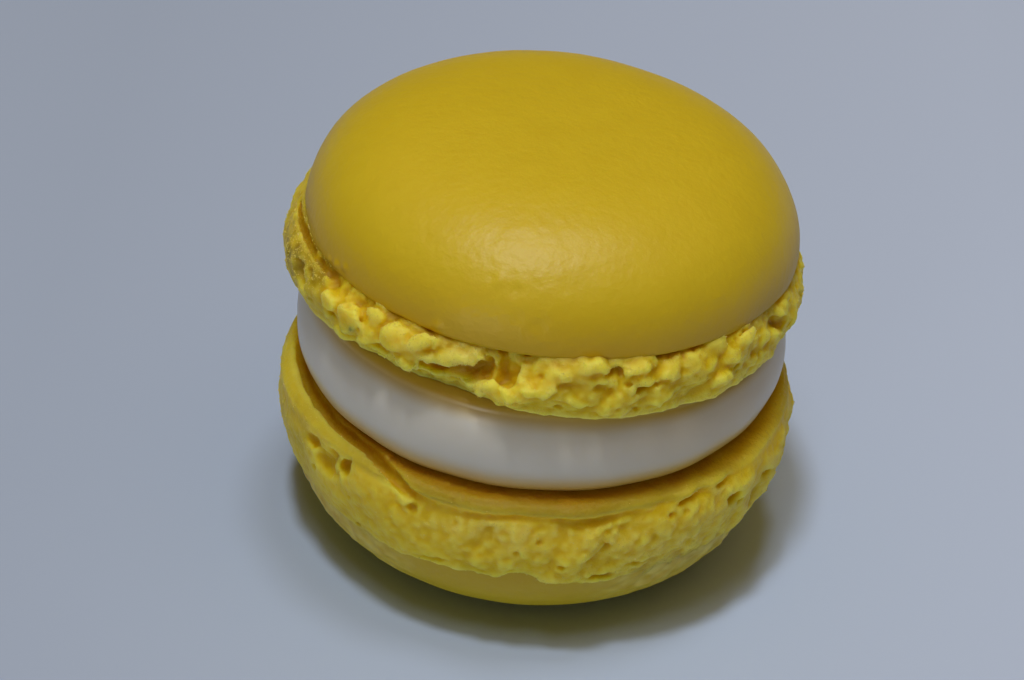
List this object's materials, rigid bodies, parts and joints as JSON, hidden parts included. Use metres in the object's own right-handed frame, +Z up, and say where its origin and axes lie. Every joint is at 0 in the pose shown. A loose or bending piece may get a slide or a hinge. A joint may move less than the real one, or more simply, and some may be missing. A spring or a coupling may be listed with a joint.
{
  "type": "french macaron",
  "caption": "French macaron: domed yellow almond meringue shells with rough, crusty feet, joined base to base by a thick layer of white buttercream.",
  "frame": {"origin": "centre of the small flat spot on the lower meringue that the macaron stands on", "axes": "+Z up through the middle of the sandwich, from the lower meringue to the upper one; -Y is the front, where the foot of the upper meringue has its largest burst bubble"},
  "size_m": [0.0442, 0.0444, 0.0384],
  "materials": {
    "meringue": "satin",
    "buttercream": "satin"
  },
  "bodies": {
    "root": {"top_shell": "meringue", "filling": "buttercream", "bottom_shell": "meringue"}
  },
  "joints": []
}
